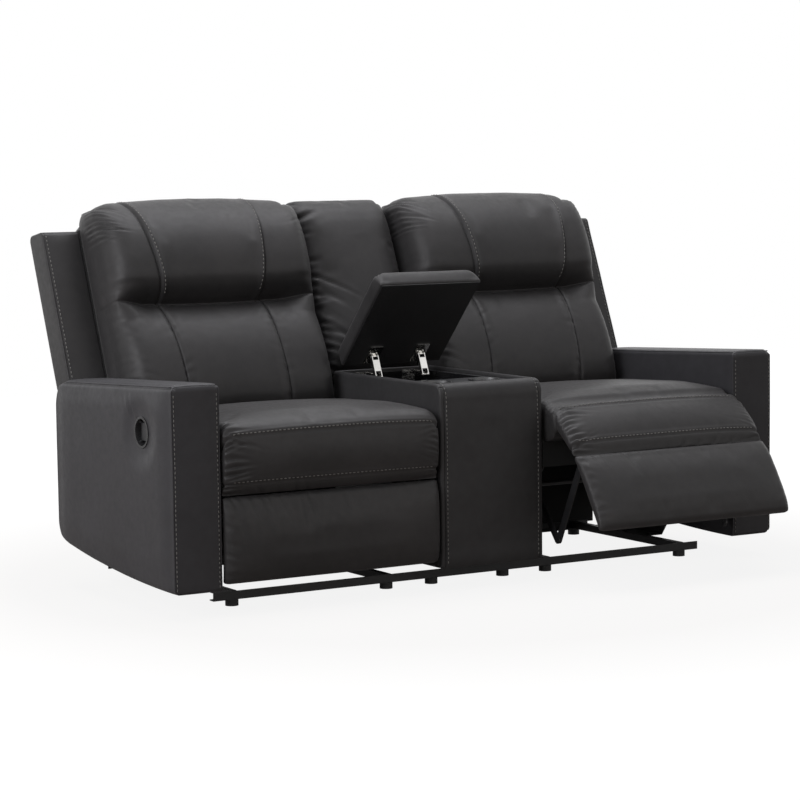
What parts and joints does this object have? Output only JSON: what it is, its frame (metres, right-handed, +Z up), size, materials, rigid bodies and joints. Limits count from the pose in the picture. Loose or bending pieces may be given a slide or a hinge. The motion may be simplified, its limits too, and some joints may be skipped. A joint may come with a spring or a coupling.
{
  "type": "reclining loveseat",
  "caption": "Padded loveseat with reclining seats, swing-out footrests and a storage console whose lid lifts.",
  "frame": {"origin": "on the floor, below the middle of the overall box", "axes": "+Z up, +X to the right seen from the front, +Y to the rear"},
  "size_m": [1.864, 1.2002, 1.0458],
  "materials": {
    "arm_upholstery": "soft matte charcoal faux leather on a padded backing",
    "console_upholstery": "soft matte charcoal faux leather on a padded backing",
    "cushion_upholstery": "soft matte black faux leather over foam",
    "timber": "raw plywood and pine",
    "lined_timber": "timber wrapped in thin black lining cloth",
    "black_steel": "satin black powder coat",
    "nickel": "bright nickel plate",
    "cup_steel": "brushed steel lining",
    "black_plastic": "satin moulded plastic",
    "paddle_plastic": "satin moulded plastic",
    "glide_plastic": "matt moulded plastic",
    "cable_sheath": "matt sheath",
    "tray_finish": "satin tray",
    "lid_board_finish": "board with a black laminate",
    "webbing": "woven webbing"
  },
  "bodies": {
    "root": {"arm_frame_left": "timber", "arm_frame_right": "timber", "arm_cover_left": "arm_upholstery", "arm_cover_right": "arm_upholstery", "latch_bezel_left": "black_plastic", "latch_bezel_right": "black_plastic", "release_cables": "cable_sheath", "console_frame": "timber", "console_cover": "console_upholstery", "console_tray": "tray_finish", "storage_bin": "black_plastic", "cup_rings": "black_plastic", "cup_holders": "cup_steel", "hinge_bases": "nickel", "centre_back_frame": "lined_timber", "centre_back_cushion": "cushion_upholstery", "cross_rails": "black_steel", "glides": "glide_plastic", "rear_stretcher": "lined_timber", "rear_panel": "lined_timber", "base_rails_left": "black_steel", "base_rails_right": "black_steel"},
    "lid": {"lid_board": "lid_board_finish", "lid_pad": "cushion_upholstery", "hinge_plates": "nickel"},
    "lid_rear_link": {"hinge_rear_links": "nickel"},
    "lid_front_link": {"hinge_front_links": "nickel"},
    "seat_left": {"seat_frame_left": "lined_timber", "link_lugs_left": "black_steel", "seat_webbing_left": "webbing", "seat_cushion_left": "cushion_upholstery"},
    "knee_left": {"front_roll_left": "cushion_upholstery"},
    "footrest_left": {"footrest_board_left": "lined_timber", "footrest_pad_left": "cushion_upholstery", "footrest_brackets_left": "black_steel"},
    "rear_link_left": {"rear_links_left": "black_steel"},
    "front_link_left": {"front_links_left": "black_steel"},
    "back_left": {"back_frame_left": "lined_timber", "back_cushion_left": "cushion_upholstery", "headrest_left": "cushion_upholstery", "wing_left": "cushion_upholstery", "rear_cover_left": "cushion_upholstery", "back_brackets_left": "black_steel"},
    "latch_left": {"latch_paddle_left": "paddle_plastic"},
    "seat_right": {"seat_frame_right": "lined_timber", "link_lugs_right": "black_steel", "seat_webbing_right": "webbing", "seat_cushion_right": "cushion_upholstery"},
    "knee_right": {"front_roll_right": "cushion_upholstery"},
    "footrest_right": {"footrest_board_right": "lined_timber", "footrest_pad_right": "cushion_upholstery", "footrest_brackets_right": "black_steel"},
    "rear_link_right": {"rear_links_right": "black_steel"},
    "front_link_right": {"front_links_right": "black_steel"},
    "back_right": {"back_frame_right": "lined_timber", "back_cushion_right": "cushion_upholstery", "headrest_right": "cushion_upholstery", "wing_right": "cushion_upholstery", "rear_cover_right": "cushion_upholstery", "back_brackets_right": "black_steel"},
    "latch_right": {"latch_paddle_right": "paddle_plastic"}
  },
  "joints": [
    {"name": "seat_slide_left", "type": "slide", "parent": "root", "child": "seat_left", "axis": [0, -1, 0], "range_m": [0, 0.04]},
    {"name": "back_recline_left", "type": "hinge", "parent": "seat_left", "child": "back_left", "pos_m": [0, 0.27116, 0.342], "axis": [-1, 0, 0], "range_deg": [-0.05, 20.05]},
    {"name": "footrest_lift_left", "type": "hinge", "parent": "seat_left", "child": "knee_left", "pos_m": [0, -0.34184, 0.477], "axis": [-1, 0, 0], "range_deg": [0, 90]},
    {"name": "footrest_fold_left", "type": "hinge", "parent": "knee_left", "child": "footrest_left", "pos_m": [0, -0.33084, 0.296], "axis": [1, 0, 0], "range_deg": [-0.05, 31.15]},
    {"name": "rear_link_turn_left", "type": "hinge", "parent": "seat_left", "child": "rear_link_left", "pos_m": [0, -0.22654, 0.2438], "axis": [-1, 0, 0], "range_deg": [-0.1, 91.87]},
    {"name": "front_link_turn_left", "type": "hinge", "parent": "rear_link_left", "child": "front_link_left", "pos_m": [0, -0.19408, 0.06878], "axis": [1, 0, 0], "range_deg": [-0.1, 96.12]},
    {"name": "latch_pull_left", "type": "hinge", "parent": "root", "child": "latch_left", "pos_m": [-0.9192, -0.14384, 0.453], "axis": [0, 0, -1], "range_deg": [0, 25], "stiffness_Nm_per_rad": 0.2, "springref_deg": -5.73},
    {"name": "seat_slide_right", "type": "slide", "parent": "root", "child": "seat_right", "axis": [0, -1, 0], "range_m": [0, 0.04]},
    {"name": "back_recline_right", "type": "hinge", "parent": "seat_right", "child": "back_right", "pos_m": [0, 0.27116, 0.342], "axis": [-1, 0, 0], "range_deg": [-0.05, 20.05]},
    {"name": "footrest_lift_right", "type": "hinge", "parent": "seat_right", "child": "knee_right", "pos_m": [0, -0.34184, 0.477], "axis": [-1, 0, 0], "range_deg": [-48.9, 41.1]},
    {"name": "footrest_fold_right", "type": "hinge", "parent": "knee_right", "child": "footrest_right", "pos_m": [0, -0.47101, 0.34973], "axis": [1, 0, 0], "range_deg": [-16.95, 14.25]},
    {"name": "rear_link_turn_right", "type": "hinge", "parent": "seat_right", "child": "rear_link_right", "pos_m": [0, -0.22654, 0.2438], "axis": [-1, 0, 0], "range_deg": [-49.96, 42.01]},
    {"name": "front_link_turn_right", "type": "hinge", "parent": "rear_link_right", "child": "front_link_right", "pos_m": [0, -0.33938, 0.10613], "axis": [1, 0, 0], "range_deg": [-52.27, 43.95]},
    {"name": "latch_pull_right", "type": "hinge", "parent": "root", "child": "latch_right", "pos_m": [0.9192, -0.14384, 0.453], "axis": [0, 0, 1], "range_deg": [0, 25], "stiffness_Nm_per_rad": 0.2, "springref_deg": -5.73},
    {"name": "lid_swing", "type": "hinge", "parent": "root", "child": "lid", "pos_m": [0, 0.21616, 0.59], "axis": [1, 0, 0], "range_deg": [0, 46]},
    {"name": "lid_rear_link_turn", "type": "hinge", "parent": "root", "child": "lid_rear_link", "pos_m": [0, 0.18816, 0.53], "axis": [1, 0, 0], "range_deg": [-0.1, 48.85]},
    {"name": "lid_front_link_turn", "type": "hinge", "parent": "lid_rear_link", "child": "lid_front_link", "pos_m": [0, 0.12829, 0.52598], "axis": [-1, 0, 0], "range_deg": [-0.1, 51.54]}
  ],
  "couplings": [
    {"joint": "back_recline_left", "follows": "seat_slide_left", "rad_per_m": 8.7266},
    {"joint": "footrest_fold_left", "follows": "footrest_lift_left", "ratio": 0.3456},
    {"joint": "rear_link_turn_left", "follows": "footrest_lift_left", "ratio": 1.0197},
    {"joint": "front_link_turn_left", "follows": "footrest_lift_left", "ratio": 1.0669},
    {"joint": "back_recline_right", "follows": "seat_slide_right", "rad_per_m": 8.7266},
    {"joint": "footrest_fold_right", "follows": "footrest_lift_right", "ratio": 0.3456},
    {"joint": "rear_link_turn_right", "follows": "footrest_lift_right", "ratio": 1.0197},
    {"joint": "front_link_turn_right", "follows": "footrest_lift_right", "ratio": 1.0669},
    {"joint": "lid_rear_link_turn", "follows": "lid_swing", "ratio": 1.0597},
    {"joint": "lid_front_link_turn", "follows": "lid_swing", "ratio": 1.1182}
  ]
}
